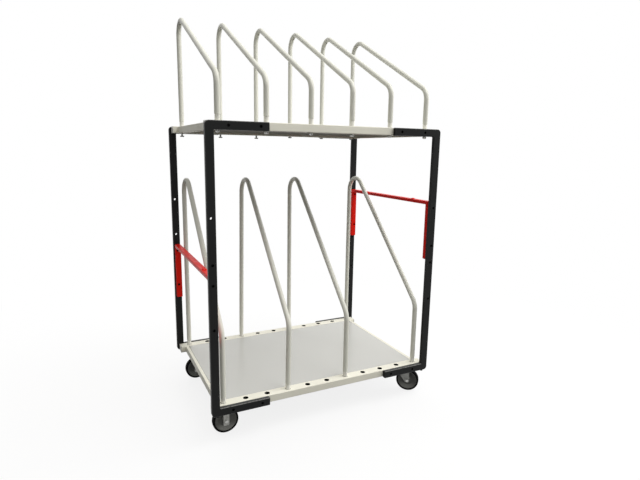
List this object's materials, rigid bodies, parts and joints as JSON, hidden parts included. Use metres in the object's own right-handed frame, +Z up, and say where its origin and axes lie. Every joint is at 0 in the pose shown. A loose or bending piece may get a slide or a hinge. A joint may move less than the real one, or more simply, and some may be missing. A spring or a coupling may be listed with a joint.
{
  "type": "carton storage trolley",
  "caption": "Open two-shelf trolley on two fixed and two swivel castors, with C-shaped end frames, push handles and bent tube dividers in socket rails for flat cartons on edge.",
  "frame": {"origin": "on the floor under the middle of the trolley", "axes": "+X along the trolley's length, to the right seen from the front; -Y to the front, where the dividers are low; +Z up"},
  "size_m": [1.2, 0.8446, 1.9917],
  "materials": {
    "black_frame": "fine satin powder coat",
    "white_tube": "satin powder coat",
    "red_handle": "satin powder coat",
    "grey_board": "light grey melamine on a board",
    "white_plastic": "moulded, matt",
    "zinc_steel": "bright zinc plate on pressed steel",
    "wheel_plastic": "moulded dark grey",
    "tyre_rubber": "smooth black rubber tread"
  },
  "bodies": {
    "frame": {"front_left_frame": "black_frame", "front_right_frame": "black_frame", "rear_left_frame": "black_frame", "rear_right_frame": "black_frame", "lower_front_rail": "white_tube", "lower_rear_rail": "white_tube", "lower_left_crossbar": "white_tube", "lower_right_crossbar": "white_tube", "lower_panel": "grey_board", "lower_front_left_end_cap": "white_plastic", "lower_front_right_end_cap": "white_plastic", "lower_rear_left_end_cap": "white_plastic", "lower_rear_right_end_cap": "white_plastic", "upper_front_rail": "white_tube", "upper_rear_rail": "white_tube", "upper_left_crossbar": "white_tube", "upper_right_crossbar": "white_tube", "upper_panel": "grey_board", "upper_front_left_end_cap": "white_plastic", "upper_front_right_end_cap": "white_plastic", "upper_rear_left_end_cap": "white_plastic", "upper_rear_right_end_cap": "white_plastic", "lower_divider_1": "white_tube", "lower_divider_2": "white_tube", "lower_divider_3": "white_tube", "lower_divider_4": "white_tube", "upper_divider_1": "white_tube", "upper_divider_2": "white_tube", "upper_divider_3": "white_tube", "upper_divider_4": "white_tube", "upper_divider_5": "white_tube", "upper_divider_6": "white_tube", "left_handle": "red_handle", "right_handle": "red_handle", "front_left_castor_pad": "white_tube", "front_left_castor_bracket": "zinc_steel", "front_left_castor_axle": "zinc_steel", "front_right_castor_pad": "white_tube", "front_right_castor_plate": "zinc_steel", "rear_left_castor_pad": "white_tube", "rear_left_castor_bracket": "zinc_steel", "rear_left_castor_axle": "zinc_steel", "rear_right_castor_pad": "white_tube", "rear_right_castor_plate": "zinc_steel"},
    "front_left_wheel": {"front_left_wheel_core": "wheel_plastic", "front_left_tyre": "tyre_rubber"},
    "front_right_swivel": {"front_right_castor_fork": "zinc_steel", "front_right_castor_axle": "zinc_steel"},
    "front_right_wheel": {"front_right_wheel_core": "wheel_plastic", "front_right_tyre": "tyre_rubber"},
    "rear_left_wheel": {"rear_left_wheel_core": "wheel_plastic", "rear_left_tyre": "tyre_rubber"},
    "rear_right_swivel": {"rear_right_castor_fork": "zinc_steel", "rear_right_castor_axle": "zinc_steel"},
    "rear_right_wheel": {"rear_right_wheel_core": "wheel_plastic", "rear_right_tyre": "tyre_rubber"}
  },
  "joints": [
    {"name": "front_left_wheel_spin", "type": "hinge", "parent": "frame", "child": "front_left_wheel", "pos_m": [-0.511, -0.3102, 0.0625], "axis": [0, 1, 0], "continuous": true},
    {"name": "front_right_castor_swivel", "type": "hinge", "parent": "frame", "child": "front_right_swivel", "pos_m": [0.511, -0.3102, 0.1411], "axis": [0, 0, 1], "continuous": true},
    {"name": "front_right_wheel_spin", "type": "hinge", "parent": "front_right_swivel", "child": "front_right_wheel", "pos_m": [0.53924, -0.33563, 0.0625], "axis": [0.6691, 0.7431, 0], "continuous": true},
    {"name": "rear_left_wheel_spin", "type": "hinge", "parent": "frame", "child": "rear_left_wheel", "pos_m": [-0.511, 0.3102, 0.0625], "axis": [0, 1, 0], "continuous": true},
    {"name": "rear_right_castor_swivel", "type": "hinge", "parent": "frame", "child": "rear_right_swivel", "pos_m": [0.511, 0.3102, 0.1411], "axis": [0, 0, 1], "continuous": true},
    {"name": "rear_right_wheel_spin", "type": "hinge", "parent": "rear_right_swivel", "child": "rear_right_wheel", "pos_m": [0.54213, 0.2884, 0.0625], "axis": [0.5736, 0.8192, 0], "continuous": true}
  ]
}
